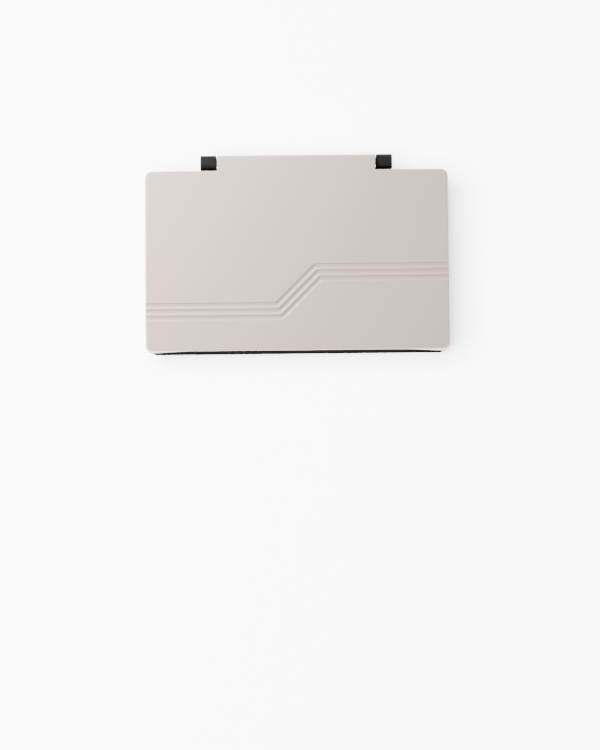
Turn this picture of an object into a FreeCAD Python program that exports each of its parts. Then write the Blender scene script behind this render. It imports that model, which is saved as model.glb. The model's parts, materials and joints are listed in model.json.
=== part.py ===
"""Hinged-lid ink pad for rubber stamps: a base tray with the inked pad in it, and a lid on two hinge pins.

Frame: +Z up, +X to the right, +Y towards the hinge. The origin is the centre of the case's outline, on the
plane that the underside's ribs stand on. Sizes are in millimetres.
"""

import FreeCAD, Part
import math
import os

import Sketcher

PARTS_FOLDER = "parts"

# Driving sizes: one cell each, with the name as the cell's alias.
GIVEN = {
    # the inked face and what lies under it
    "pad_width": 90.0,
    "pad_depth": 50.0,
    "card_thickness": 1.0,
    "felt_thickness": 6.0,
    "cloth_thickness": 0.5,
    "soft_gap": 0.1,
    "cloth_gap": 0.3,
    # the frame round the pad
    "frame_band_side": 1.8,
    "frame_band_end": 1.6,
    "frame_leg": 1.0,
    "frame_flange": 1.2,
    "frame_lip": 0.3,
    "frame_fit": 0.2,
    # the base tray
    "floor_thickness": 1.6,
    "rim_wall": 1.2,
    "rim_rise": 1.4,
    "seam_rise": 0.8,
    "seam_gap": 0.3,
    "base_inset_side": 0.8,
    "base_inset_front": 0.1,
    "base_inset_rear": 0.7,
    "base_draft": 0.2,
    "foot_bevel": 0.4,
    "foot_corner": 2.0,
    "rim_corner": 1.4,
    "cavity_corner": 0.6,
    # the ribs of the underside
    "rib_height": 0.6,
    "rib_width": 1.05,
    "rib_inset_side": 1.2,
    "rib_inset_end": 2.4,
    "label_ring_width": 65.3,
    "label_ring_depth": 28.5,
    # the paper label
    "label_width": 62.3,
    "label_depth": 24.6,
    "label_thickness": 0.12,
    # the lid
    "headroom": 4.4,
    "lid_plate": 1.4,
    "lid_wall": 1.4,
    "lid_gap": 0.4,
    "lid_swing_gap": 0.8,
    "lid_flare": 0.45,
    "lid_edge_bevel": 0.3,
    "case_corner": 2.4,
    # the shallow scoop in the lid's front edge
    "scoop_depth": 0.35,
    "scoop_flat": 62.0,
    "scoop_length": 94.0,
    # the three grooves across the lid
    "groove_width": 1.3,
    "groove_pitch": 2.1,
    "groove_depth": 0.3,
    "groove_from_front": 17.0,
    "groove_run": 42.8,
    "groove_rise": 12.6,
    # the hinge
    "tab_width": 51.8,
    "tab_wall": 1.3,
    "tab_end_wall": 1.6,
    "tab_round": 2.05,
    "tab_edge_round": 0.9,
    "axis_setback": 2.6,
    "axis_rise": 1.7,
    "pin_radius": 1.3,
    "pin_clearance": 0.05,
    "pin_end_gap": 0.4,
    "knuckle_gap": 0.3,
    "knuckle_length": 5.0,
    "knuckle_cheek": 0.8,
    "knuckle_radius": 2.35,
    "hook_overlap": 0.4,
    "knuckle_slot": 2.3,
    "arm_drop": 5.7,
}

# Sizes that follow from those, as formulas in further cells of the same sheet.
WORKED_OUT = {
    "cavity_width": "pad_width + 2 * (frame_band_side + frame_fit)",
    "cavity_depth": "pad_depth + 2 * (frame_band_end + frame_fit)",
    "rim_width": "cavity_width + 2 * rim_wall",
    "rim_depth": "cavity_depth + 2 * rim_wall",
    "case_width": "rim_width + 2 * (lid_gap + lid_wall)",
    "case_depth": "rim_depth + lid_gap + lid_swing_gap + 2 * lid_wall",
    "pad_centre": "(lid_gap - lid_swing_gap) / 2",
    "base_width": "case_width - 2 * base_inset_side",
    "base_depth": "case_depth - base_inset_front - base_inset_rear",
    "base_centre": "(base_inset_front - base_inset_rear) / 2",
    "foot_width": "base_width - 2 * base_draft",
    "foot_depth": "base_depth - 2 * base_draft",
    "rib_ring_width": "foot_width - 2 * rib_inset_side",
    "rib_ring_depth": "foot_depth - 2 * rib_inset_end",
    "floor_top": "rib_height + floor_thickness",
    "card_top": "floor_top + card_thickness",
    "felt_under": "card_top + soft_gap",
    "felt_top": "felt_under + felt_thickness",
    "cloth_under": "felt_top + soft_gap",
    "cloth_top": "cloth_under + cloth_thickness",
    "frame_top": "cloth_top + frame_lip",
    "seam_height": "frame_top + seam_rise",
    "rim_top": "seam_height + rim_rise",
    "plate_under": "frame_top + headroom",
    "case_top": "plate_under + lid_plate",
    "plate_width": "case_width - 2 * lid_flare",
    "plate_depth": "case_depth - 2 * lid_flare",
    "plate_corner": "case_corner - lid_flare / 2",
    "lid_inner_width": "case_width - 2 * lid_wall",
    "lid_inner_depth": "case_depth - 2 * lid_wall",
    "cloth_width": "pad_width - 2 * cloth_gap",
    "cloth_depth": "pad_depth - 2 * cloth_gap",
    "felt_width": "cloth_width - 2 * (cloth_thickness + soft_gap)",
    "felt_depth": "cloth_depth - 2 * (cloth_thickness + soft_gap)",
    "axis_y": "case_depth / 2 + axis_setback",
    "axis_z": "seam_height + axis_rise",
    "knuckle_near": "tab_width / 2 + knuckle_gap",
    "knuckle_drop": "axis_rise + seam_gap + hook_overlap",
}

DEGREES_OF_GROOVE_BEND = 45
ADDED_OVERLAP = 1.0  # how far a cut reaches past the face that it opens
SCOOP_START = 0.1  # how far in front of the lid the scoop's slanting ends start


def make_sheet(doc):
    """The spreadsheet: a row for each size, its name, then its number or formula under that alias."""
    sheet = doc.addObject("Spreadsheet::Sheet", "sizes")
    cells = {name: str(value) for name, value in GIVEN.items()}
    cells.update({name: f"={formula}" for name, formula in WORKED_OUT.items()})
    for row, (name, content) in enumerate(cells.items(), start=1):
        sheet.set(f"A{row}", name)
        sheet.set(f"B{row}", content)
        sheet.setAlias(f"B{row}", name)
    doc.recompute()
    return sheet


def in_sheet(formula):
    """The formula with each size written as the sheet's cell, as an expression outside the sheet needs it."""
    names, word = [], ""
    for letter in formula + " ":
        if letter.isalnum() or letter == "_":
            word += letter
            continue
        names.append(f"sizes.{word}" if word in GIVEN or word in WORKED_OUT else word)
        names.append(letter)
        word = ""
    return "".join(names).strip()


def number(doc, name):
    """A size's value, for choosing edges by where they are."""
    return float(doc.getObject("sizes").get(name))


def make_body(doc, label):
    """An empty body whose label is the sub-part's name."""
    body = doc.addObject("PartDesign::Body", label)
    body.Label = label
    return body


def origin_plane(body, role):
    """One of the body's own origin planes, such as XY_Plane."""
    return next(feature for feature in body.Origin.OriginFeatures if feature.Role == role)


def make_sketch(body, name, role, x="0", y="0", level="0"):
    """A sketch on an origin plane, shifted by formulas along the plane's own directions."""
    sketch = body.newObject("Sketcher::SketchObject", name)
    sketch.AttachmentSupport = [(origin_plane(body, role), "")]
    sketch.MapMode = "FlatFace"
    for direction, shift in (("x", x), ("y", y), ("z", level)):
        sketch.setExpression(f"AttachmentOffset.Base.{direction}", in_sheet(shift))
    return sketch


def dimension(sketch, name, constraint, formula):
    """Adds a named dimension whose value is a formula."""
    index = sketch.addConstraint(constraint)
    sketch.renameConstraint(index, name)
    sketch.setExpression(f"Constraints.{name}", in_sheet(formula))


def outline(sketch, points):
    """Straight edges round the points, joined end to end."""
    count = len(points)
    for here, there in zip(points, points[1:] + points[:1]):
        sketch.addGeometry(Part.LineSegment(FreeCAD.Vector(*here, 0), FreeCAD.Vector(*there, 0)))
    for i in range(count):
        sketch.addConstraint(Sketcher.Constraint("Coincident", i, 2, (i + 1) % count, 1))


def square_up(sketch, level_edges, upright_edges):
    """Makes the named edges horizontal and vertical."""
    for edge in level_edges:
        sketch.addConstraint(Sketcher.Constraint("Horizontal", edge))
    for edge in upright_edges:
        sketch.addConstraint(Sketcher.Constraint("Vertical", edge))


def rectangle(sketch, width, depth):
    """A rectangle centred on the sketch's origin."""
    outline(sketch, [(-2, -1), (2, -1), (2, 1), (-2, 1)])
    square_up(sketch, (0, 2), (1, 3))
    sketch.addConstraint(Sketcher.Constraint("Symmetric", 0, 1, 2, 1, -1, 1))
    dimension(sketch, "width", Sketcher.Constraint("DistanceX", 0, 1, 0, 2, 4.0), width)
    dimension(sketch, "depth", Sketcher.Constraint("DistanceY", 1, 1, 1, 2, 2.0), depth)
    return sketch


def rounded_rectangle(sketch, width, depth, radius):
    """A rectangle with round corners, centred on the sketch's origin."""
    corners = [(3, -2), (3, 2), (-3, 2), (-3, -2)]
    up = FreeCAD.Vector(0, 0, 1)
    quarter = math.pi / 2
    for index, (x, y) in enumerate(corners):
        arc = Part.Circle(FreeCAD.Vector(x, y, 0), up, 1.0)
        sketch.addGeometry(Part.ArcOfCircle(arc, (index - 1) * quarter, index * quarter))
    sides = [((4, -2), (4, 2)), ((3, 3), (-3, 3)), ((-4, 2), (-4, -2)), ((-3, -3), (3, -3))]
    for here, there in sides:
        sketch.addGeometry(Part.LineSegment(FreeCAD.Vector(*here, 0), FreeCAD.Vector(*there, 0)))
    for index in range(4):
        sketch.addConstraint(Sketcher.Constraint("Tangent", index, 2, index + 4, 1))
        sketch.addConstraint(Sketcher.Constraint("Tangent", index + 4, 2, (index + 1) % 4, 1))
    for index in (1, 2, 3):
        sketch.addConstraint(Sketcher.Constraint("Equal", 0, index))
    square_up(sketch, (5, 7), (4, 6))
    sketch.addConstraint(Sketcher.Constraint("Symmetric", 0, 3, 2, 3, -1, 1))
    dimension(sketch, "radius", Sketcher.Constraint("Radius", 0, 1.0), radius)
    between = Sketcher.Constraint("DistanceX", 3, 3, 0, 3, 6.0)
    dimension(sketch, "across", between, f"{width} - 2 * ({radius})")
    between = Sketcher.Constraint("DistanceY", 0, 3, 1, 3, 4.0)
    dimension(sketch, "along", between, f"{depth} - 2 * ({radius})")
    return sketch


def circle(sketch, radius):
    """A circle about the sketch's origin."""
    sketch.addGeometry(Part.Circle(FreeCAD.Vector(0, 0, 0), FreeCAD.Vector(0, 0, 1), 1.0))
    sketch.addConstraint(Sketcher.Constraint("Coincident", 0, 3, -1, 1))
    dimension(sketch, "radius", Sketcher.Constraint("Radius", 0, 1.0), radius)
    return sketch


def pad(body, sketch, length, midplane=False):
    """Material along the sketch's normal."""
    feature = body.newObject("PartDesign::Pad", sketch.Name + "_pad")
    feature.Profile = sketch
    feature.Midplane = midplane
    feature.setExpression("Length", in_sheet(length))
    body.Document.recompute()
    return feature


def pocket(body, sketch, length, along=False, midplane=False):
    """A cut against the sketch's normal, or along it; it has to take something away."""
    before = body.Shape.Volume
    feature = body.newObject("PartDesign::Pocket", sketch.Name + "_cut")
    feature.Profile = sketch
    feature.Reversed = along
    feature.Midplane = midplane
    feature.setExpression("Length", in_sheet(length))
    body.Document.recompute()
    if not feature.Shape.Volume < before:
        raise RuntimeError(f"{feature.Name} cuts nothing")
    return feature


def loft(body, name, lowest, others):
    """Material between outlines, from the lowest up."""
    feature = body.newObject("PartDesign::AdditiveLoft", name)
    feature.Profile = lowest
    feature.Sections = others
    feature.Ruled = True
    body.Document.recompute()
    return feature


def mirror(body, name, originals):
    """The same features on the other side of the YZ plane."""
    feature = body.newObject("PartDesign::Mirrored", name)
    feature.Originals = originals
    feature.MirrorPlane = (origin_plane(body, "YZ_Plane"), [""])
    body.Tip = feature
    body.Document.recompute()
    return feature


def round_edges(body, name, radius, wanted):
    """A fillet on those edges of the body so far that pass the test."""
    last = body.Tip
    names = [f"Edge{i}" for i, edge in enumerate(last.Shape.Edges, start=1) if wanted(edge)]
    if not names:
        raise RuntimeError(f"{name} finds no edge")
    feature = body.newObject("PartDesign::Fillet", name)
    feature.Base = (last, names)
    feature.setExpression("Radius", in_sheet(radius))
    body.Document.recompute()
    return feature


def is_level(edge, height):
    """Does the edge lie flat at that height?"""
    box = edge.BoundBox
    return abs(box.ZMin - height) < 0.01 and abs(box.ZMax - height) < 0.01


def add_base_shell(body):
    """The tray's outer walls with their draft, its rim, and the cavity that the pad drops into."""
    shoulder_level = "seam_height - seam_gap"
    knee_level = "rib_height + foot_bevel"
    foot = make_sketch(body, "foot_outline", "XY_Plane", y="base_centre", level="rib_height")
    knee = make_sketch(body, "knee_outline", "XY_Plane", y="base_centre", level=knee_level)
    shoulder = make_sketch(body, "shoulder_outline", "XY_Plane", y="base_centre", level=shoulder_level)
    rounded_rectangle(foot, "foot_width - 2 * foot_bevel", "foot_depth - 2 * foot_bevel", "foot_corner")
    rounded_rectangle(knee, "foot_width", "foot_depth", "foot_corner + foot_bevel / 2")
    rounded_rectangle(shoulder, "base_width", "base_depth", "case_corner")
    loft(body, "tray_block", foot, [knee, shoulder])

    rim = make_sketch(body, "rim_outline", "XY_Plane", y="pad_centre", level=shoulder_level)
    rounded_rectangle(rim, "rim_width", "rim_depth", "rim_corner")
    pad(body, rim, "rim_rise + seam_gap")
    cavity = make_sketch(body, "cavity_outline", "XY_Plane", y="pad_centre", level="rim_top")
    rounded_rectangle(cavity, "cavity_width", "cavity_depth", "cavity_corner")
    pocket(body, cavity, "rim_top - floor_top")


def add_ring(body, name, width, depth, level, thickness, centre):
    """A rectangular rib ring: its outer size, standing up from a level by a thickness."""
    outer = make_sketch(body, f"{name}_outer", "XY_Plane", y=centre, level=level)
    rectangle(outer, width, depth)
    outline_inner = [(-1, -0.5), (1, -0.5), (1, 0.5), (-1, 0.5)]
    first = outer.GeometryCount
    for here, there in zip(outline_inner, outline_inner[1:] + outline_inner[:1]):
        outer.addGeometry(Part.LineSegment(FreeCAD.Vector(*here, 0), FreeCAD.Vector(*there, 0)))
    for i in range(4):
        outer.addConstraint(Sketcher.Constraint("Coincident", first + i, 2, first + (i + 1) % 4, 1))
    square_up(outer, (first, first + 2), (first + 1, first + 3))
    outer.addConstraint(Sketcher.Constraint("Symmetric", first, 1, first + 2, 1, -1, 1))
    dimension(
        outer,
        "inner_width",
        Sketcher.Constraint("DistanceX", first, 1, first, 2, 2.0),
        f"{width} - 2 * rib_width",
    )
    dimension(
        outer,
        "inner_depth",
        Sketcher.Constraint("DistanceY", first + 1, 1, first + 1, 2, 1.0),
        f"{depth} - 2 * rib_width",
    )
    return pad(body, outer, thickness)


def add_underside_ribs(body):
    """The ring the case stands on, the ring round the label, and the four ribs that join them."""
    add_ring(body, "foot_ring", "rib_ring_width", "rib_ring_depth", "0", "rib_height", "base_centre")
    add_ring(body, "label_ring", "label_ring_width", "label_ring_depth", "0", "rib_height", "base_centre")
    side = make_sketch(
        body,
        "side_rib",
        "XY_Plane",
        x="(rib_ring_width + label_ring_width) / 4 - rib_width / 2",
        y="base_centre",
    )
    rectangle(side, "(rib_ring_width - label_ring_width) / 2", "rib_width")
    side_rib = pad(body, side, "rib_height")
    mirror(body, "side_ribs", [side_rib])
    reach = "(rib_ring_depth - label_ring_depth) / 2"
    middle = "((rib_ring_depth + label_ring_depth) / 4 - rib_width / 2)"
    for name, sign in (("front_rib", "-"), ("rear_rib", "+")):
        rib = make_sketch(body, name, "XY_Plane", y=f"base_centre {sign} {middle}")
        rectangle(rib, "rib_width", reach)
        pad(body, rib, "rib_height")


def knuckle_profile(sketch):
    """A hook's side: a half round over the pin, and straight walls down from it."""
    sketch.addGeometry(Part.LineSegment(FreeCAD.Vector(-2, 0, 0), FreeCAD.Vector(-2, -2, 0)))
    sketch.addGeometry(Part.LineSegment(FreeCAD.Vector(-2, -2, 0), FreeCAD.Vector(2, -2, 0)))
    sketch.addGeometry(Part.LineSegment(FreeCAD.Vector(2, -2, 0), FreeCAD.Vector(2, 0, 0)))
    half_round = Part.Circle(FreeCAD.Vector(0, 0, 0), FreeCAD.Vector(0, 0, 1), 2.0)
    sketch.addGeometry(Part.ArcOfCircle(half_round, 0.0, math.pi))
    for first, second in ((0, 1), (1, 2)):
        sketch.addConstraint(Sketcher.Constraint("Coincident", first, 2, second, 1))
    sketch.addConstraint(Sketcher.Constraint("Coincident", 2, 2, 3, 1))
    sketch.addConstraint(Sketcher.Constraint("Coincident", 3, 2, 0, 1))
    sketch.addConstraint(Sketcher.Constraint("Coincident", 3, 3, -1, 1))
    sketch.addConstraint(Sketcher.Constraint("Horizontal", 1))
    sketch.addConstraint(Sketcher.Constraint("Vertical", 0))
    sketch.addConstraint(Sketcher.Constraint("Vertical", 2))
    sketch.addConstraint(Sketcher.Constraint("PointOnObject", 3, 1, -1))
    dimension(sketch, "radius", Sketcher.Constraint("Radius", 3, 2.0), "knuckle_radius")
    dimension(sketch, "drop", Sketcher.Constraint("DistanceY", 0, 2, 0, 1, 2.0), "knuckle_drop")


def add_knuckles(body):
    """The two hooks behind the tray: an arm out of the rear wall, and over the pin a hook open below."""
    rear = "(case_depth / 2 - base_inset_rear)"
    slot_front = "(axis_y - knuckle_slot / 2)"
    root = f"({rear} - rim_wall / 2)"
    hook = make_sketch(body, "hook_side", "YZ_Plane", x="axis_y", y="axis_z", level="knuckle_near")
    knuckle_profile(hook)
    hook_pad = pad(body, hook, "knuckle_length")
    arm = make_sketch(
        body,
        "arm_side",
        "YZ_Plane",
        x=f"({root} + {slot_front}) / 2",
        y="axis_z - (arm_drop + axis_rise + seam_gap) / 2",
        level="knuckle_near",
    )
    rectangle(arm, f"{slot_front} - {root}", "arm_drop - axis_rise - seam_gap")
    arm_pad = pad(body, arm, "knuckle_length")
    bore = make_sketch(body, "bore", "YZ_Plane", x="axis_y", y="axis_z", level="knuckle_near")
    circle(bore, "pin_radius + pin_clearance")
    bore_cut = pocket(body, bore, "knuckle_length - knuckle_cheek", along=True)
    slot = make_sketch(
        body,
        "slot",
        "YZ_Plane",
        x="axis_y",
        y=f"axis_z - knuckle_drop / 2 - {ADDED_OVERLAP} / 2",
        level="knuckle_near",
    )
    rectangle(slot, "knuckle_slot", f"knuckle_drop + {ADDED_OVERLAP}")
    slot_cut = pocket(body, slot, "knuckle_length - knuckle_cheek", along=True)
    mirror(body, "knuckles", [hook_pad, arm_pad, bore_cut, slot_cut])


def make_base_tray(doc):
    """The black tray: walls, rim, underside ribs and hinge knuckles in one moulding."""
    body = make_body(doc, "base_tray")
    add_base_shell(body)
    add_underside_ribs(body)
    add_knuckles(body)
    return body


def add_lid_shell(body):
    """The lid's flared cap with rounded corners and a bevelled top edge."""
    edge_level = "case_top - lid_edge_bevel"
    lower = make_sketch(body, "skirt_outline", "XY_Plane", level="seam_height")
    edge = make_sketch(body, "edge_outline", "XY_Plane", level=edge_level)
    upper = make_sketch(body, "top_outline", "XY_Plane", level="case_top")
    rounded_rectangle(lower, "case_width", "case_depth", "case_corner")
    rounded_rectangle(edge, "plate_width", "plate_depth", "plate_corner")
    bevels = "2 * lid_edge_bevel"
    rounded_rectangle(upper, f"plate_width - {bevels}", f"plate_depth - {bevels}", "plate_corner - lid_edge_bevel")
    loft(body, "lid_block", lower, [edge, upper])


def tab_profile(sketch):
    """The tab's side: flat on top and behind, with a half round under the hinge's axis."""
    points = [(-3, 0), (-3, 3), (2, 3), (2, 0)]
    for here, there in zip(points, points[1:]):
        sketch.addGeometry(Part.LineSegment(FreeCAD.Vector(*here, 0), FreeCAD.Vector(*there, 0)))
    below = Part.Circle(FreeCAD.Vector(0, 0, 0), FreeCAD.Vector(0, 0, 1), 2.0)
    sketch.addGeometry(Part.ArcOfCircle(below, math.pi, 2 * math.pi))
    sketch.addGeometry(Part.LineSegment(FreeCAD.Vector(-2, 0, 0), FreeCAD.Vector(-3, 0, 0)))
    for first, first_end, second, second_end in (
        (0, 2, 1, 1),
        (1, 2, 2, 1),
        (2, 2, 3, 2),
        (3, 1, 4, 1),
        (4, 2, 0, 1),
    ):
        sketch.addConstraint(Sketcher.Constraint("Coincident", first, first_end, second, second_end))
    square_up(sketch, (1, 4), (0, 2))
    sketch.addConstraint(Sketcher.Constraint("Coincident", 3, 3, -1, 1))
    sketch.addConstraint(Sketcher.Constraint("PointOnObject", 3, 2, -1))
    sketch.addConstraint(Sketcher.Constraint("PointOnObject", 3, 1, -1))
    dimension(sketch, "radius", Sketcher.Constraint("Radius", 3, 2.0), "tab_round")
    dimension(sketch, "rise", Sketcher.Constraint("DistanceY", 0, 1, 0, 2, 3.0), "case_top - axis_z")
    dimension(
        sketch,
        "reach",
        Sketcher.Constraint("DistanceX", 1, 1, 1, 2, 5.0),
        "axis_setback + tab_round + lid_wall / 2 + lid_flare",
    )


def add_tab(body):
    """The hinge tab behind the lid, hollow from below, with a pin standing out of each end."""
    side = make_sketch(body, "tab_side", "YZ_Plane", x="axis_y", y="axis_z")
    tab_profile(side)
    pad(body, side, "tab_width", midplane=True)
    rear_edge = number(body.Document, "axis_y") + number(body.Document, "tab_round")
    top = number(body.Document, "case_top")
    round_edges(
        body,
        "tab_rear_edge",
        "tab_edge_round",
        lambda edge: is_level(edge, top) and abs(edge.BoundBox.YMin - rear_edge) < 0.01,
    )


def hollow_lid(body):
    """The space inside the lid, and the one inside its tab."""
    inside = make_sketch(body, "lid_inside", "XY_Plane", level="seam_height")
    rounded_rectangle(inside, "lid_inner_width", "lid_inner_depth", "case_corner - lid_wall")
    pocket(body, inside, "plate_under - seam_height", along=True)
    tab_inside = make_sketch(
        body,
        "tab_inside",
        "XY_Plane",
        y="case_depth / 2 + (axis_setback + tab_round - tab_wall) / 2",
        level="axis_z - tab_round",
    )
    rectangle(tab_inside, "tab_width - 2 * tab_end_wall", "axis_setback + tab_round - tab_wall")
    pocket(body, tab_inside, "plate_under - axis_z + tab_round", along=True)


def add_pins(body):
    """The two hinge pins, out of the tab's ends along the axis."""
    pin = make_sketch(body, "pin_side", "YZ_Plane", x="axis_y", y="axis_z", level="tab_width / 2")
    circle(pin, "pin_radius")
    pin_pad = pad(body, pin, "knuckle_gap + knuckle_length - knuckle_cheek - pin_end_gap")
    mirror(body, "pins", [pin_pad])


def cut_scoop(body):
    """The shallow scoop along the lid's front edge, for a fingertip."""
    front = f"-case_depth / 2 - {SCOOP_START}"
    sketch = make_sketch(body, "scoop_outline", "XY_Plane", y=front, level="case_top")
    outline(sketch, [(-6, 0), (-4, 1), (4, 1), (6, 0), (6, -2), (-6, -2)])
    square_up(sketch, (4,), (3, 5))
    sketch.addConstraint(Sketcher.Constraint("Symmetric", 0, 1, 2, 2, -2))
    sketch.addConstraint(Sketcher.Constraint("PointOnObject", 0, 1, -1))
    sketch.addConstraint(Sketcher.Constraint("Symmetric", 1, 1, 1, 2, -2))
    dimension(sketch, "flat", Sketcher.Constraint("DistanceX", 1, 1, 1, 2, 8.0), "scoop_flat")
    dimension(sketch, "length", Sketcher.Constraint("DistanceX", 4, 2, 4, 1, 12.0), "scoop_length")
    reach = f"scoop_depth + {SCOOP_START}"
    dimension(sketch, "depth", Sketcher.Constraint("DistanceY", 0, 1, 0, 2, 1.0), reach)
    dimension(sketch, "front", Sketcher.Constraint("DistanceY", 3, 2, 3, 1, 2.0), str(ADDED_OVERLAP))
    pocket(body, sketch, f"case_top - seam_height + {ADDED_OVERLAP}")


def cut_grooves(body):
    """Three parallel grooves across the lid's top, each with a slanting step in the middle."""
    bend = f"tan({DEGREES_OF_GROOVE_BEND} / 2 * 1 deg)"
    past = f"{ADDED_OVERLAP}"
    for index in range(3):
        sketch = make_sketch(
            body,
            f"groove_{index + 1}",
            "XY_Plane",
            x=f"-case_width / 2 - {past}",
            y=f"groove_from_front - case_depth / 2 - {index} * groove_pitch",
            level="case_top",
        )
        outline(sketch, [(0, 0), (40, 0), (50, 10), (99, 10), (99, 9), (51, 9), (41, -1), (0, -1)])
        square_up(sketch, (0, 2, 4, 6), (3, 7))
        sketch.addConstraint(Sketcher.Constraint("Coincident", 0, 1, -1, 1))
        run = f"groove_run + {past} + {index} * groove_pitch * {bend}"
        dimension(sketch, "run", Sketcher.Constraint("DistanceX", 0, 1, 0, 2, 40.0), run)
        dimension(sketch, "climb", Sketcher.Constraint("DistanceX", 1, 1, 1, 2, 10.0), "groove_rise")
        dimension(sketch, "rise", Sketcher.Constraint("DistanceY", 1, 1, 1, 2, 10.0), "groove_rise")
        whole = f"case_width + 2 * {past}"
        dimension(sketch, "whole", Sketcher.Constraint("DistanceX", 0, 1, 2, 2, 99.0), whole)
        dimension(sketch, "width", Sketcher.Constraint("DistanceY", 7, 1, 7, 2, 1.0), "groove_width")
        dimension(sketch, "far_width", Sketcher.Constraint("DistanceY", 3, 2, 3, 1, 1.0), "groove_width")
        shift = f"groove_width * {bend}"
        dimension(sketch, "near_shift", Sketcher.Constraint("DistanceX", 0, 2, 6, 1, 1.0), shift)
        dimension(sketch, "far_shift", Sketcher.Constraint("DistanceX", 2, 1, 4, 2, 1.0), shift)
        pocket(body, sketch, "groove_depth")


def make_lid_cover(doc):
    """The grey lid: plate, skirt, hinge tab and pins in one moulding."""
    body = make_body(doc, "lid_cover")
    add_lid_shell(body)
    add_tab(body)
    hollow_lid(body)
    cut_scoop(body)
    cut_grooves(body)
    add_pins(body)
    return body


def block(doc, name, width, depth, low, height, centre):
    """A box centred across the case, from a level up."""
    box = doc.addObject("Part::Box", name)
    for size, formula in (("Length", width), ("Width", depth), ("Height", height)):
        box.setExpression(size, in_sheet(formula))
    places = {"x": f"-({width}) / 2", "y": f"{centre} - ({depth}) / 2", "z": low}
    for direction, formula in places.items():
        box.setExpression(f"Placement.Base.{direction}", in_sheet(formula))
    return box


def cut(doc, label, base, tool):
    """One solid less another, under the sub-part's name."""
    result = doc.addObject("Part::Cut", label)
    result.Base = base
    result.Tool = tool
    result.Label = label
    return result


def make_pad_frame(doc):
    """The collar that drops into the tray and borders the inked face: a flange on four thin legs."""
    outer_width = "cavity_width - 2 * frame_fit"
    outer_depth = "cavity_depth - 2 * frame_fit"
    outer = block(
        doc, "frame_block", outer_width, outer_depth, "floor_top", "frame_top - floor_top", "pad_centre"
    )
    window = block(
        doc,
        "frame_window",
        "pad_width",
        "pad_depth",
        f"floor_top - {ADDED_OVERLAP}",
        f"frame_top - floor_top + 2 * {ADDED_OVERLAP}",
        "pad_centre",
    )
    collar = cut(doc, "frame_collar", outer, window)
    rebate = block(
        doc,
        "frame_rebate",
        f"{outer_width} - 2 * frame_leg",
        f"{outer_depth} - 2 * frame_leg",
        f"floor_top - {ADDED_OVERLAP}",
        f"frame_top - frame_flange - floor_top + {ADDED_OVERLAP}",
        "pad_centre",
    )
    return cut(doc, "pad_frame", collar, rebate)


def make_ink_cloth(doc):
    """The inked cloth: drawn over the felt and down its four sides."""
    outer = block(
        doc, "cloth_block", "cloth_width", "cloth_depth", "felt_under", "cloth_top - felt_under", "pad_centre"
    )
    inside = block(
        doc,
        "cloth_inside",
        "cloth_width - 2 * cloth_thickness",
        "cloth_depth - 2 * cloth_thickness",
        f"felt_under - {ADDED_OVERLAP}",
        f"cloth_under - felt_under + {ADDED_OVERLAP}",
        "pad_centre",
    )
    return cut(doc, "ink_cloth", outer, inside)


def make_simple_pieces(doc):
    """The felt, the card under it, and the label: plain blocks, named as they are."""
    felt = block(doc, "felt_core", "felt_width", "felt_depth", "felt_under", "felt_thickness", "pad_centre")
    card = block(doc, "backing_card", "cloth_width", "cloth_depth", "floor_top", "card_thickness", "pad_centre")
    label = block(
        doc,
        "base_label",
        "label_width",
        "label_depth",
        "rib_height - label_thickness",
        "label_thickness",
        "base_centre",
    )
    return [felt, card, label]


def check(doc, pieces):
    """Stops on a failed object, or on a sub-part that isn't one valid solid."""
    for item in doc.Objects:
        if "Invalid" in item.State or "Error" in item.State:
            raise RuntimeError(f"{item.Name} is {item.State}")
    for piece in pieces:
        shape = piece.Shape
        if shape.isNull() or not shape.isValid() or len(shape.Solids) != 1:
            raise RuntimeError(f"{piece.Label} isn't one valid solid")


def main():
    """Builds every sub-part, checks it, and writes its STEP file."""
    doc = FreeCAD.newDocument("ink_pad")
    make_sheet(doc)
    pieces = [make_base_tray(doc), make_lid_cover(doc), make_pad_frame(doc), make_ink_cloth(doc)]
    pieces += make_simple_pieces(doc)
    doc.recompute()
    check(doc, pieces)
    os.makedirs(PARTS_FOLDER, exist_ok=True)
    for piece in pieces:
        box = piece.Shape.BoundBox
        print(f"{piece.Label}: {box.XLength:.2f} x {box.YLength:.2f} x {box.ZLength:.2f} mm")
        piece.Shape.exportStep(os.path.join(PARTS_FOLDER, f"{piece.Label}.step"))


main()
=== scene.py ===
"""Looks of a hinged-lid stamp ink pad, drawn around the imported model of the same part.

The classes hold their sizes in millimetres, and a size becomes metres where a mesh or a light is made.
+Z is up, +Y points to the hinge, and the origin lies on the table under the middle of the case.
"""

import json
import logging
import math
from contextlib import contextmanager
from dataclasses import dataclass
from enum import Enum
from typing import Callable, Iterable, Iterator, Sequence

import bmesh
import bpy
from mathutils import Matrix, Vector, noise


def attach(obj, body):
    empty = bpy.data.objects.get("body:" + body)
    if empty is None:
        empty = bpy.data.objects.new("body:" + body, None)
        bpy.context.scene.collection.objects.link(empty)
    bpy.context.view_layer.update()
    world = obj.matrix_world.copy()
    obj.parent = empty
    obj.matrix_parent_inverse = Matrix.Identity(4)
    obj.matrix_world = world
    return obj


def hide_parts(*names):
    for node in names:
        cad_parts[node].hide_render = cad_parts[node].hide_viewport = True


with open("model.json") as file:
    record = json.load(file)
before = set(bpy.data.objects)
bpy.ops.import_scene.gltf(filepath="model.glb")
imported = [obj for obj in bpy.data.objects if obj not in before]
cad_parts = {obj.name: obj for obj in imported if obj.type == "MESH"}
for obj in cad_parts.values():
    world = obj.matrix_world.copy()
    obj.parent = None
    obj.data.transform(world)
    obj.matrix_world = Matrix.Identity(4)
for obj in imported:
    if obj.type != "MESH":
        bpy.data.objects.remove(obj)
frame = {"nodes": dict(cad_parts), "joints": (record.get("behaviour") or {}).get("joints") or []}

MM = 0.001
SMOOTH_ANGLE = math.radians(32)
FACING = 0.99
FACE_WEIGHT = 100
CIRCLE_STEPS = 40

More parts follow.
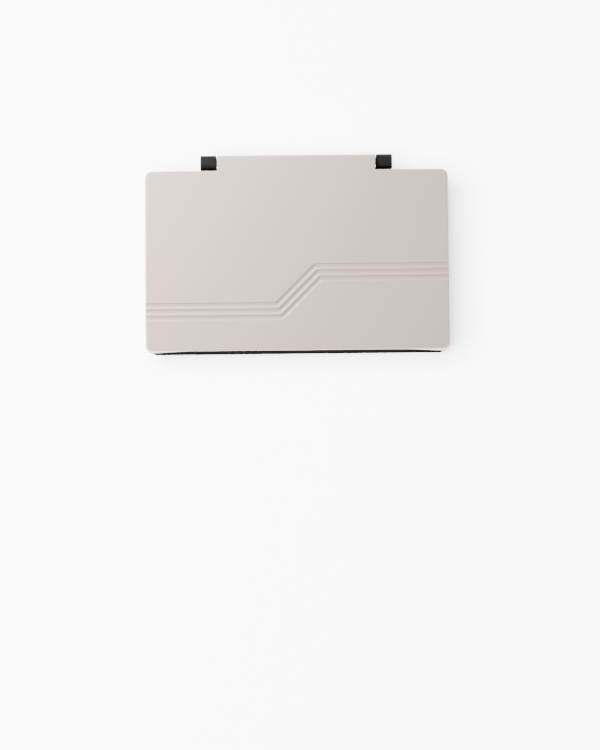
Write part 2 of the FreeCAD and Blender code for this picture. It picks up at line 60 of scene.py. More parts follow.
Point = tuple[float, float, float]
Flat = tuple[float, float]
Colour = tuple[float, float, float]

# The hinge's place along and its height, from the frame's only joint.
HINGE: Flat = tuple(round(part / MM, 3) for part in frame["joints"][0]["pos_m"][1:])

log = logging.getLogger("ink_pad")


class Body(Enum):
    """The bodies that pieces ride on."""

    BASE = "base"
    LID = "lid"


class Slot(Enum):
    """Names of the record's material slots for the new pieces."""

    TRAY = "tray_black"
    LID = "lid_grey"
    FRAME = "frame_black"
    CLOTH = "inked_cloth"
    FELT = "inked_felt"


class Join(Enum):
    """How one solid is combined with another."""

    ADD = "UNION"
    CUT = "DIFFERENCE"


# ---------------------------------------------------------------- shaders

# Sockets of a Mix node for colours, and the roughness of every noise.
COLOUR_INPUTS = (6, 7)
COLOUR_OUTPUT = 2
NOISE_FALL = 0.55


class Wire:
    """A shader socket that takes part in sums: each operator adds the Math node it stands for."""

    def __init__(self, shader: "Shader", socket: bpy.types.NodeSocket) -> None:
        """Keeps the socket and the shader whose tree it is in."""
        self.shader = shader
        self.socket = socket

    def math(self, operation: str, *values: "Wire | float") -> "Wire":
        """The result of a Math node on these values, in order."""
        return self.shader.node("ShaderNodeMath", {"operation": operation}, dict(enumerate(values)))

    def __add__(self, other: "Wire | float") -> "Wire":
        """Sum."""
        return self.math("ADD", self, other)

    def __radd__(self, other: float) -> "Wire":
        """Sum with the number first."""
        return self.math("ADD", other, self)

    def __sub__(self, other: "Wire | float") -> "Wire":
        """Difference."""
        return self.math("SUBTRACT", self, other)

    def __rsub__(self, other: float) -> "Wire":
        """Difference with the number first."""
        return self.math("SUBTRACT", other, self)

    def __mul__(self, other: "Wire | float") -> "Wire":
        """Product."""
        return self.math("MULTIPLY", self, other)

    def __rmul__(self, other: float) -> "Wire":
        """Product with the number first."""
        return self.math("MULTIPLY", other, self)

    def __gt__(self, other: "Wire | float") -> "Wire":
        """One where this is more, else nought."""
        return self.math("GREATER_THAN", self, other)

    def sine(self) -> "Wire":
        """Sine of an angle in radians."""
        return self.math("SINE", self)

    def size(self) -> "Wire":
        """Size without its sign."""
        return self.math("ABSOLUTE", self)

    def held(self) -> "Wire":
        """The value kept between nought and one."""
        return self.math("MINIMUM", self.math("MAXIMUM", self, 0.0), 1.0)


class Shader:
    """A material's node tree around one Principled shader."""

    def __init__(self, name: str) -> None:
        """Starts a material with only its shader and output.

        Args:
            name: the material's name.
        """
        self.material = bpy.data.materials.new(name)
        self.material.use_nodes = True
        self.tree = self.material.node_tree
        self.surface = self.tree.nodes["Principled BSDF"]

    def node(
        self,
        kind: str,
        settings: dict[str, object] | None = None,
        inputs: "dict[int | str, object] | None" = None,
        output: "int | str" = 0,
    ) -> Wire:
        """Adds a node.

        Args:
            kind: the node's type.
            settings: its own settings, set before its inputs; "stops" are a colour ramp's.
            inputs: a value or a wire for each socket, by index or name.
            output: the output that is wanted.

        Returns:
            That output.
        """
        made = self.tree.nodes.new(kind)
        for name, value in (settings or {}).items():
            if name == "stops":
                self._set_stops(made.color_ramp, value)
            else:
                setattr(made, name, value)
        for name, value in (inputs or {}).items():
            if isinstance(value, Wire):
                self.tree.links.new(value.socket, made.inputs[name])
            else:
                made.inputs[name].default_value = value
        return Wire(self, made.outputs[output])

    @staticmethod
    def _set_stops(ramp: bpy.types.ColorRamp, stops: Sequence[Flat]) -> None:
        """Gives a ramp its grey stops.

        Args:
            ramp: the ramp, which starts with two.
            stops: each stop's place and brightness.
        """
        while len(ramp.elements) < len(stops):
            ramp.elements.new(1.0)
        for element, (place, grey) in zip(ramp.elements, stops):
            element.position = place
            element.color = (grey, grey, grey, 1.0)

    def place(self) -> Wire:
        """Object coordinates, in metres."""
        return self.node("ShaderNodeTexCoord", output="Object")

    def split(self, vector: Wire) -> tuple[Wire, Wire, Wire]:
        """The three parts of a vector."""
        parts = self.node("ShaderNodeSeparateXYZ", None, {0: vector})
        return tuple(Wire(self, output) for output in parts.socket.node.outputs)

    def grain(self, size: float, detail: float = 2.0, stretch: Point = (1.0, 1.0, 1.0)) -> Wire:
        """Noise of about the given feature size.

        Args:
            size: a feature's size in millimetres.
            detail: octaves.
            stretch: how much longer a feature is along each axis.

        Returns:
            The noise, round about a half.
        """
        vector = self.place()
        if stretch != (1.0, 1.0, 1.0):
            scale = tuple(1.0 / part for part in stretch)
            vector = self.node("ShaderNodeMapping", None, {"Vector": vector, "Scale": scale})
        inputs = {"Vector": vector, "Scale": 1.0 / (size * MM), "Detail": detail, "Roughness": NOISE_FALL}
        return self.node("ShaderNodeTexNoise", None, inputs)

    def contrast(self, value: Wire, ends: Flat) -> Wire:
        """A grey ramp that is black up to the first end and white from the second."""
        return self.node("ShaderNodeValToRGB", {"stops": list(zip(ends, (0.0, 1.0)))}, {0: value})

    def mix(self, factor: Wire, first: "Wire | Colour", second: "Wire | Colour") -> Wire:
        """A colour between two.

        Args:
            factor: the second colour's share.
            first: the colour at nought.
            second: the colour at one.

        Returns:
            The mixed colour.
        """
        inputs: dict[int | str, object] = {0: factor}
        for index, colour in zip(COLOUR_INPUTS, (first, second)):
            inputs[index] = colour if isinstance(colour, Wire) else (*colour, 1.0)
        return self.node("ShaderNodeMix", {"data_type": "RGBA"}, inputs, COLOUR_OUTPUT)

    def bump(self, height: Wire, depth: float, below: Wire | None = None) -> Wire:
        """A normal from a height.

        Args:
            height: the height, from nought to one.
            depth: what one stands for, in millimetres.
            below: a normal that this one adds to.

        Returns:
            The normal.
        """
        inputs: dict[int | str, object] = {"Height": height, "Distance": depth * MM, "Strength": 1.0}
        if below is not None:
            inputs["Normal"] = below
        return self.node("ShaderNodeBump", None, inputs)

    def wear(self, **sockets: object) -> bpy.types.Material:
        """Sets the shader's own sockets.

        Args:
            sockets: a value or a wire for each socket, by name with _ for a space.

        Returns:
            The material.
        """
        for name, value in sockets.items():
            socket = self.surface.inputs[name.replace("_", " ")]
            if isinstance(value, Wire):
                self.tree.links.new(value.socket, socket)
            else:
                socket.default_value = (*value, 1.0) if socket.type == "RGBA" else value
        return self.material


@dataclass(frozen=True)
class Moulding:
    """Moulded plastic: spark-eroded grain, slow shifts of tone, and faint rubbed patches."""

    name: str
    light: Colour
    dark: Colour
    roughness: float
    gloss: float = 0.5
    coat: float = 0.0
    wall_coat: float = 0.0
    coat_roughness: float = 0.36
    roughness_swing: float = 0.10
    grain_size: float = 0.16
    grain_depth: float = 0.014
    flow_size: float = 38.0
    flow_range: Flat = (0.3, 0.7)
    flow_share: float = 0.7
    speck_share: float = 0.3
    speck_scale: float = 3
    broad_scale: float = 5
    broad_depth: float = 2
    rub_size: float = 7.0
    rub_detail: float = 5.0
    rub_stretch: Point = (2.5, 1.0, 1.0)
    rub_range: Flat = (0.42, 0.66)
    level_range: Flat = (0.55, 0.95)

    def make(self) -> bpy.types.Material:
        """Tone from the flow and the specks, roughness from the rubbing, and two layers of grain.

        Returns:
            The material.
        """
        shader = Shader(self.name)
        flow = shader.contrast(shader.grain(self.flow_size), self.flow_range)
        speck = shader.grain(self.grain_size * self.speck_scale)
        rub = shader.contrast(shader.grain(self.rub_size, self.rub_detail, self.rub_stretch), self.rub_range)
        tone = (flow * self.flow_share + speck * self.speck_share).held()
        if self.coat:
            _, _, upright = shader.split(shader.node("ShaderNodeTexCoord", output="Normal"))
            level = shader.contrast(upright.size(), self.level_range)
            coat = level * (self.coat - self.wall_coat) + self.wall_coat
            shader.wear(Coat_Weight=coat, Coat_Roughness=self.coat_roughness)
        fine = shader.grain(self.grain_size)
        broad = shader.grain(self.grain_size * self.broad_scale)
        normal = shader.bump(fine, self.grain_depth, shader.bump(broad, self.grain_depth * self.broad_depth))
        return shader.wear(
            Base_Color=shader.mix(tone, self.dark, self.light),
            Roughness=self.roughness + (rub - 0.5) * self.roughness_swing,
            Normal=normal,
            Specular_IOR_Level=self.gloss,
        )


@dataclass(frozen=True)
class InkedWeave:
    """Fine cloth soaked with ink: crossing threads, a damp gleam and drier patches."""

    name: str
    ink: Colour
    dry: Colour
    thread: float = 0.42
    thread_depth: float = 0.05
    wobble: float = 0.9
    wobble_size: float = 1.6
    damp_size: float = 14.0
    damp_detail: float = 4.0
    damp_range: Flat = (0.35, 0.65)
    fibre_size: float = 0.10
    fibre_depth: float = 0.02
    damp_share: float = 0.45
    thread_share: float = 0.35
    fibre_share: float = 0.3
    roughness: float = 0.50
    damp_roughness: float = 0.20
    fibre_roughness: float = 0.12
    gloss: float = 0.16
    sheen: float = 0.04
    sheen_roughness: float = 0.5

    def make(self) -> bpy.types.Material:
        """Tone from the damp, the threads and their fibres, and the threads' relief.

        Returns:
            The material.
        """
        shader = Shader(self.name)
        turn = math.pi / (self.thread * MM)
        along, across, _ = shader.split(shader.place())
        wobble = (shader.grain(self.wobble_size) - 0.5) * self.wobble
        warp, weft = (along * turn + wobble).sine(), (across * turn + wobble).sine()
        over = (warp * weft) > 0.0
        thread = warp.size() * over + weft.size() * (1.0 - over)
        damp = shader.contrast(shader.grain(self.damp_size, self.damp_detail), self.damp_range)
        fibre = shader.grain(self.fibre_size)
        tone = (damp * self.damp_share + thread * self.thread_share + fibre * self.fibre_share).held()
        normal = shader.bump(thread, self.thread_depth, shader.bump(fibre, self.fibre_depth))
        return shader.wear(
            Base_Color=shader.mix(tone, self.ink, self.dry),
            Roughness=self.roughness + damp * self.damp_roughness + fibre * self.fibre_roughness,
            Normal=normal,
            Specular_IOR_Level=self.gloss,
            Sheen_Weight=self.sheen,
            Sheen_Roughness=self.sheen_roughness,
        )


@dataclass(frozen=True)
class Fibres:
    """Pressed fibres, as in felt, board or paper."""

    name: str
    light: Colour
    dark: Colour
    fibre: float
    depth: float
    length: float = 5.0
    roughness: float = 0.85
    roughness_swing: float = 0.15
    detail: float = 3.0
    cloud_scale: float = 30
    mat_share: float = 0.7
    cloud_share: float = 0.6
    tone_drop: float = 0.15

    def make(self) -> bpy.types.Material:
        """Tone and relief from fibres that lie both ways.

        Returns:
            The material.
        """
        shader = Shader(self.name)
        one_way = shader.grain(self.fibre, self.detail, (self.length, 1.0, 1.0))
        other_way = shader.grain(self.fibre, self.detail, (1.0, self.length, 1.0))
        mat = one_way.math("MAXIMUM", one_way, other_way)
        cloud = shader.grain(self.fibre * self.cloud_scale, self.detail)
        tone = (mat * self.mat_share + cloud * self.cloud_share - self.tone_drop).held()
        return shader.wear(
            Base_Color=shader.mix(tone, self.dark, self.light),
            Roughness=self.roughness + (mat - 0.5) * self.roughness_swing,
            Normal=shader.bump(mat, self.depth),
        )


@dataclass(frozen=True)
class Backdrop:
    """The plain pale floor."""

    name: str
    colour: Colour
    glow: float
    roughness: float = 0.9

    def make(self) -> bpy.types.Material:
        """A matte colour that glows a little.

        Returns:
            The material.
        """
        return Shader(self.name).wear(
            Base_Color=self.colour,
            Roughness=self.roughness,
            Emission_Color=self.colour,
            Emission_Strength=self.glow,
        )


@dataclass(frozen=True)
class Finishes:
    """Every finish of the ink pad."""

    lid: Moulding = Moulding(
        "warm_grey_plastic",
        light=(0.600, 0.520, 0.492),
        dark=(0.575, 0.498, 0.472),
        roughness=0.60,
        gloss=0.0,
        coat=0.3,
        wall_coat=0.05,
    )
    tray: Moulding = Moulding(
        "black_tray_plastic",
        light=(0.0068, 0.0060, 0.0059),
        dark=(0.0046, 0.0042, 0.0042),
        roughness=0.46,
        gloss=0.0,
        coat=0.6,
    )
    frame: Moulding = Moulding("black_collar_plastic", (0.012, 0.012, 0.012), (0.008, 0.008, 0.008), 0.34)
    cloth: InkedWeave = InkedWeave("ink_soaked_weave", (0.0035, 0.0035, 0.0042), (0.017, 0.017, 0.019))
    felt: Fibres = Fibres("ink_soaked_felt", (0.030, 0.030, 0.033), (0.008, 0.008, 0.009), 0.12, 0.10)
    board: Fibres = Fibres("grey_board", (0.36, 0.34, 0.31), (0.24, 0.225, 0.20), 0.15, 0.03)
    label: Fibres = Fibres("label_paper", (0.90, 0.90, 0.895), (0.84, 0.84, 0.835), 0.09, 0.008, 4.0, 0.62)
    floor: Backdrop = Backdrop("pale_floor", (0.88, 0.88, 0.88), 0.55)


# ---------------------------------------------------------------- meshes


@contextmanager
def opened(mesh: bpy.types.Mesh) -> Iterator[bmesh.types.BMesh]:
    """A mesh opened for editing, and written back afterwards.

    Args:
        mesh: the mesh.

    Returns:
        The editable form, for a with statement.
    """
    form = bmesh.new()
    form.from_mesh(mesh)
    yield form
    form.to_mesh(mesh)
    form.free()


class Shell:
    """Points and faces of one piece, in millimetres, before they become a mesh."""

    def __init__(self) -> None:
        """Starts empty."""
        self.points: list[Point] = []
        self.faces: list[tuple[int, ...]] = []

    def row(self, points: Iterable[Point]) -> list[int]:
        """Adds points.

        Args:
            points: the points, in order.

        Returns:
            Their numbers.
        """
        first = len(self.points)
        self.points.extend(points)
        return list(range(first, len(self.points)))

    def skin(self, lower: Sequence[int], upper: Sequence[int], closed: bool = True) -> None:
        """Faces between two rows.

        Args:
            lower: one row's point numbers.
            upper: the other's, as many.
            closed: whether a face joins the rows' ends.
        """
        count = len(lower)
        for here in range(count if closed else count - 1):
            there = (here + 1) % count
            self.faces.append((lower[here], lower[there], upper[there], upper[here]))

    def grid(self, columns: Sequence[Sequence[int]]) -> None:
        """Faces between open columns, side by side."""
        for first, second in zip(columns, columns[1:]):
            self.skin(first, second, closed=False)

    def cap(self, row: Sequence[int]) -> None:
        """One face that closes a row."""
        self.faces.append(tuple(row))

    def sweep(self, rows: Sequence[Sequence[int]], round_trip: bool = False, capped: bool = False) -> None:
        """Faces between closed rows, in order.

        Args:
            rows: the rows' point numbers.
            round_trip: whether faces lead from the last row back to the first.
            capped: whether one face closes each end.
        """
        for lower, upper in zip(rows, rows[1:]):
            self.skin(lower, upper)
        if round_trip:
            self.skin(rows[-1], rows[0])
        if capped:
            self.cap(rows[0])
            self.cap(rows[-1])

    def to_object(self, name: str) -> bpy.types.Object:
        """A linked object with these faces, their normals outwards.

        Args:
            name: the object's name.

        Returns:
            The object, at the origin.
        """
        mesh = bpy.data.meshes.new(name)
        scaled = [tuple(part * MM for part in point) for point in self.points]
        mesh.from_pydata(scaled, [], self.faces)
        with opened(mesh) as form:
            bmesh.ops.recalc_face_normals(form, faces=form.faces)
        made = bpy.data.objects.new(name, mesh)
        bpy.context.scene.collection.objects.link(made)
        return made


def round_edges(piece: bpy.types.Object, edge: float, segments: int = 3, ends_only: bool = False) -> None:
    """Rounds a solid's edges.

    Args:
        piece: the solid.
        edge: the rounding's radius.
        segments: faces across it.
        ends_only: whether only the edges round the faces that look along X are rounded.
    """
    with opened(piece.data) as form:
        edges = [
            line
            for line in form.edges
            if not ends_only or any(abs(face.normal.x) > FACING for face in line.link_faces)
        ]
        bmesh.ops.bevel(form, geom=edges, offset=edge * MM, segments=segments, profile=0.5, affect="EDGES")


def prism(
    name: str, profile: Sequence[Flat], x_low: float, x_high: float, edge: float = 0.0
) -> bpy.types.Object:
    """A side profile drawn out along X, with its end edges rounded.

    Args:
        name: the object's name.
        profile: (y, z) points in order.
        x_low: where it starts.
        x_high: where it ends.
        edge: radius of the rounding round both ends, or nought.

    Returns:
        The solid.
    """
    shell = Shell()
    shell.sweep([shell.row((x, y, z) for y, z in profile) for x in (x_low, x_high)], capped=True)
    made = shell.to_object(name)
    if edge:
        round_edges(made, edge, ends_only=True)
    return made


def block(name: str, low: Point, high: Point, edge: float, segments: int) -> bpy.types.Object:
    """A box with every edge rounded.

    Args:
        name: the object's name.
        low: its lowest corner.
        high: its highest corner.
        edge: the rounding's radius.
        segments: faces across the rounding.

    Returns:
        The solid.
    """
    shell = Shell()
    corners = [(low[0], low[1]), (high[0], low[1]), (high[0], high[1]), (low[0], high[1])]
    shell.sweep([shell.row((x, y, z) for x, y in corners) for z in (low[2], high[2])], capped=True)
    made = shell.to_object(name)
    round_edges(made, edge, segments)
    return made


def settle(piece: bpy.types.Object) -> None:
    """Turns a piece's modifiers into its plain mesh.

    Args:
        piece: the piece, whose modifiers are removed.
    """
    graph = bpy.context.evaluated_depsgraph_get()
    mesh = bpy.data.meshes.new_from_object(
        piece.evaluated_get(graph), preserve_all_data_layers=True, depsgraph=graph
    )
    before = piece.data
    piece.modifiers.clear()
    piece.data = mesh
    bpy.data.meshes.remove(before)


def combine(piece: bpy.types.Object, other: bpy.types.Object, how: Join) -> None:
    """Adds another solid to a piece or cuts it away.

    Args:
        piece: the piece that is kept.
        other: the other solid, which is dropped afterwards.
        how: whether it is added or cut away.
    """
    modifier = piece.modifiers.new("combine", "BOOLEAN")
    modifier.operation = how.value
    modifier.solver = "EXACT"
    modifier.object = other
    settle(piece)
    bpy.data.objects.remove(other)


def smooth(piece: bpy.types.Object) -> None:
    """Smooth shading with creases at hard edges, large faces keeping their own normals.

    Args:
        piece: the piece.
    """
    for polygon in piece.data.polygons:
        polygon.use_smooth = True
    piece.data.set_sharp_from_angle(angle=SMOOTH_ANGLE)
    modifier = piece.modifiers.new("weighted", "WEIGHTED_NORMAL")
    modifier.keep_sharp = True
    modifier.weight = FACE_WEIGHT
    settle(piece)


def dress(
    piece: bpy.types.Object, material: bpy.types.Material, body: Body, slot: Slot, *nodes: str
) -> bpy.types.Object:
    """Gives a piece its material and its body, and hides the CAD nodes that it stands for.

    Args:
        piece: the finished piece.
        material: its material.
        body: the body it rides on.
        slot: the record's slot for its finish; not used.
        nodes: CAD nodes that it replaces.

    Returns:
        The piece.
    """
    piece.data.materials.clear()
    piece.data.materials.append(material)
    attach(piece, body.value)
    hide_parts(*nodes)
    log.info("%s: %d faces on %s", piece.name, len(piece.data.polygons), body.value)
    return piece


def arc(start: float, end: float, steps: int) -> list[float]:
    """Angles in radians from one number of degrees to another, both ends included."""
    return [math.radians(start + (end - start) * step / steps) for step in range(steps + 1)]


def curve(centre: Flat, radius: float, angles: Iterable[float]) -> list[Flat]:
    """Points of a side profile on a circle, at angles in radians from +Y towards +Z."""
    return [(centre[0] + radius * math.cos(turn), centre[1] + radius * math.sin(turn)) for turn in angles]


def circle(centre: Flat, radius: float) -> list[Flat]:
    """Points of a side profile all the way round a circle."""
    return curve(centre, radius, arc(0, 360, CIRCLE_STEPS)[:-1])


def between(start: Flat, end: Flat, share: float) -> Flat:
    """A point part of the way from one to another."""
    return start[0] + (end[0] - start[0]) * share, start[1] + (end[1] - start[1]) * share


def spread(low: float, high: float, spacing: float) -> list[float]:
    """Evenly spaced places strictly between two ends."""
    count = max(1, round(abs(high - low) / spacing))
    return [low + (high - low) * step / count for step in range(1, count)]


@dataclass(frozen=True)
class Outline:
    """A rectangle with round corners, seen from above."""

    half_x: float
    half_y: float
    radius: float
    centre_y: float = 0.0
    corner_steps: int = 7
    least_radius: float = 0.01

    def loop(self, z: float, grow: float = 0.0) -> list[Point]:
        """The outline as one closed row.

        Args:
            z: its height.
            grow: how far it lies outside the outline.

        Returns:
            The points, anticlockwise from above.
        """
        points: list[Point] = []
        reach = max(self.radius + grow, self.least_radius)
        for quarter, (side_x, side_y) in enumerate([(1, -1), (1, 1), (-1, 1), (-1, -1)]):
            centre_x = side_x * (self.half_x + grow - reach)
            centre_y = self.centre_y + side_y * (self.half_y + grow - reach)
            for angle in arc(90 * (quarter - 1), 90 * quarter, self.corner_steps):
                points.append((centre_x + reach * math.cos(angle), centre_y + reach * math.sin(angle), z))
        return points

    def rounding(
        self, level: float, radius: float, angles: Iterable[float], hole: bool = False, below: bool = False
    ) -> list[list[Point]]:
        """Closed rows round an edge between a wall on the outline and a level face.

        Args:
            level: the face's height.
            radius: the rounding's radius.
            angles: where the rows lie, in radians from the wall to the face.
            hole: whether the wall is round a hole, which widens towards the face.
            below: whether the face is under the wall.

        Returns:
            The points of a row for each angle.
        """
        out = radius if hole else -radius
        up = radius if below else -radius
        return [
            self.loop(level + up * (1 - math.sin(turn)), out * (1 - math.cos(turn))) for turn in angles
        ]

    def ends(self, x: float) -> tuple[float, float]:
        """Where the outline ends at a place across.

        Args:
            x: the place.

        Returns:
            The front and the rear edge's places along.
        """
        past = abs(x) - (self.half_x - self.radius)
        inset = self.radius - math.sqrt(max(self.radius**2 - past**2, 0.0)) if past > 0 else 0.0
        return self.centre_y - self.half_y + inset, self.centre_y + self.half_y - inset

    def corner_places(self) -> list[float]:
        """Places across at which the right-hand corners' points lie, from the straight part outwards."""
        flat = self.half_x - self.radius
        return [flat + self.radius * math.sin(angle) for angle in arc(0, 90, self.corner_steps)]

    def outward(self, x: float, y: float) -> Flat:
        """The direction straight out of the outline.

        Args:
            x: a point's place across.
            y: its place along.

        Returns:
            The direction there, one long.
        """
        flat_x, flat_y = self.half_x - self.radius, self.half_y - self.radius
        shift = Vector((x - min(flat_x, max(-flat_x, x)), y - self.centre_y))
        shift.y -= min(flat_y, max(-flat_y, y - self.centre_y))
        shift.normalize()
        return shift.x, shift.y

    def fill(self, columns: Sequence[Sequence[int]]) -> list[int]:
        """The closed border of a grid that fills the outline, anticlockwise from above.

        Args:
            columns: point numbers, column by column to the right, each from the rear to the front.

        Returns:
            The border's point numbers.
        """
        front = [column[-1] for column in columns]
        right = list(reversed(columns[-1][:-1]))
        rear = [column[0] for column in reversed(columns[:-1])]
        return front + right + rear + list(columns[0][1:-1])


class Border:
    """A face's border, with the direction straight out of it at each point."""

    def __init__(self, shell: Shell, outline: Outline, border: Sequence[int]) -> None:
        """Reads the border's places and works out their directions.

        Args:
            shell: what the border's points are in, and what new ones go to.
            outline: the border's outline.
            border: the border's point numbers.
        """
        self.shell = shell
        self.first = list(border)
        self.places = [shell.points[index] for index in border]
        self.outward = [outline.outward(x, y) for x, y, _ in self.places]

    def ring(self, reach: Callable[[Point, Flat], float], level: Callable[[float], float]) -> list[int]:
        """A row beside the border.

        Args:
            reach: gives how far out a point lies, from its place and its direction on the border.
            level: gives its height, from its height on the border.

        Returns:
            The row's point numbers.
        """
        row = []
        for place, way in zip(self.places, self.outward):
            out = reach(place, way)
            row.append((place[0] + way[0] * out, place[1] + way[1] * out, level(place[2])))
        return self.shell.row(row)


# ---------------------------------------------------------------- the lid


@dataclass(frozen=True)
class GrooveBand:
    """The band of three grooves: level on the left, a slanting step, then level on the right.

    A groove's section is listed from the rear to the front: distance in front of its rear edge, and share
    of the depth. The rear wall is steep, the floor falls to the front, and the front slope is long. The bend
    nearer the hinge is tightest at bend_reach in front of the rearmost edge, and the other one at that edge.
    """

    pitch: float = 2.1
    depth: float = 0.42
    count: int = 3
    inner_radius: float = 0.25
    radius_growth: float = 0.45
    bend_reach: float = 5.5
    bend: float = 45.0
    bend_steps: int = 6
    slant_spacing: float = 0.2
    left_rear: float = -13.97
    right_rear: float = -1.38
    bend_x: float = -7.1
    section: tuple[Flat, ...] = (
        (-0.10, 0.0),
        (-0.04, 0.04),
        (0.0, 0.16),
        (0.06, 0.44),
        (0.10, 0.50),
        (0.16, 0.54),
        (0.55, 0.78),
        (0.92, 0.98),
        (1.02, 0.98),
        (1.12, 0.86),
        (1.42, 0.40),
        (1.58, 0.12),
        (1.66, 0.03),
        (1.74, 0.0),
    )

    def rails(self) -> list[Flat]:
        """Every line along the band.

        Returns:
            Each line's distance in front of the rearmost edge, and its height over the plate.
        """
        return [
            (index * self.pitch + shift, -share * self.depth)
            for index in range(self.count)
            for shift, share in self.section
        ]

    def _level(self, places: Iterable[float], rear: float) -> list[list[Flat]]:
        """Columns on a level stretch, whose rearmost edge is given."""
        return [[(x, rear - offset) for offset, _ in self.rails()] for x in places]

    def _upper_x(self) -> float:
        """Where the bend nearer the hinge is on the rearmost edge."""
        return self.bend_x + (self.right_rear - self.left_rear) / math.tan(math.radians(self.bend))

    def _bend(self, angle: float, upper: bool) -> list[Flat]:
        """One column round a bend.

        Args:
            angle: how far the band has turned, in radians.
            upper: whether it is the bend nearer the hinge.

        Returns:
            A point on each rail.
        """
        mitre = math.tan(math.radians(self.bend) / 2)
        base = self._upper_x() if upper else self.bend_x
        rear = self.right_rear if upper else self.left_rear
        side = -1 if upper else 1
        points = []
        for offset, _ in self.rails():
            inside = self.bend_reach - offset if upper else offset
            radius = side * (self.inner_radius + self.radius_growth * inside)
            x = base + (offset - radius) * mitre + radius * math.sin(angle)
            points.append((x, rear - offset + radius * (1 - math.cos(angle))))
        return points

    def columns(self, left: Sequence[float], right: Sequence[float], spacing: float) -> list[list[Flat]]:
        """The band's points, column by column.

        Args:
            left: places across of the first columns.
            right: places across of the last columns.
            spacing: distance between the other columns on the level stretches.

        Returns:
            For each column, a point on each rail, from the rear to the front.
        """
        slant = list(zip(*(self._bend(math.radians(self.bend), upper) for upper in (False, True))))
        return [
            *self._level([*left, *spread(left[-1], self.bend_x, spacing)], self.left_rear),
            *(self._bend(angle, False) for angle in arc(0, self.bend, self.bend_steps)),
            *(
                [between(start, end, share) for start, end in slant]
                for share in spread(0, 1, self.slant_spacing)
            ),
            *(self._bend(angle, True) for angle in arc(self.bend, 0, self.bend_steps)),
            *self._level([*spread(self._upper_x(), right[0], spacing), *right], self.right_rear),
        ]


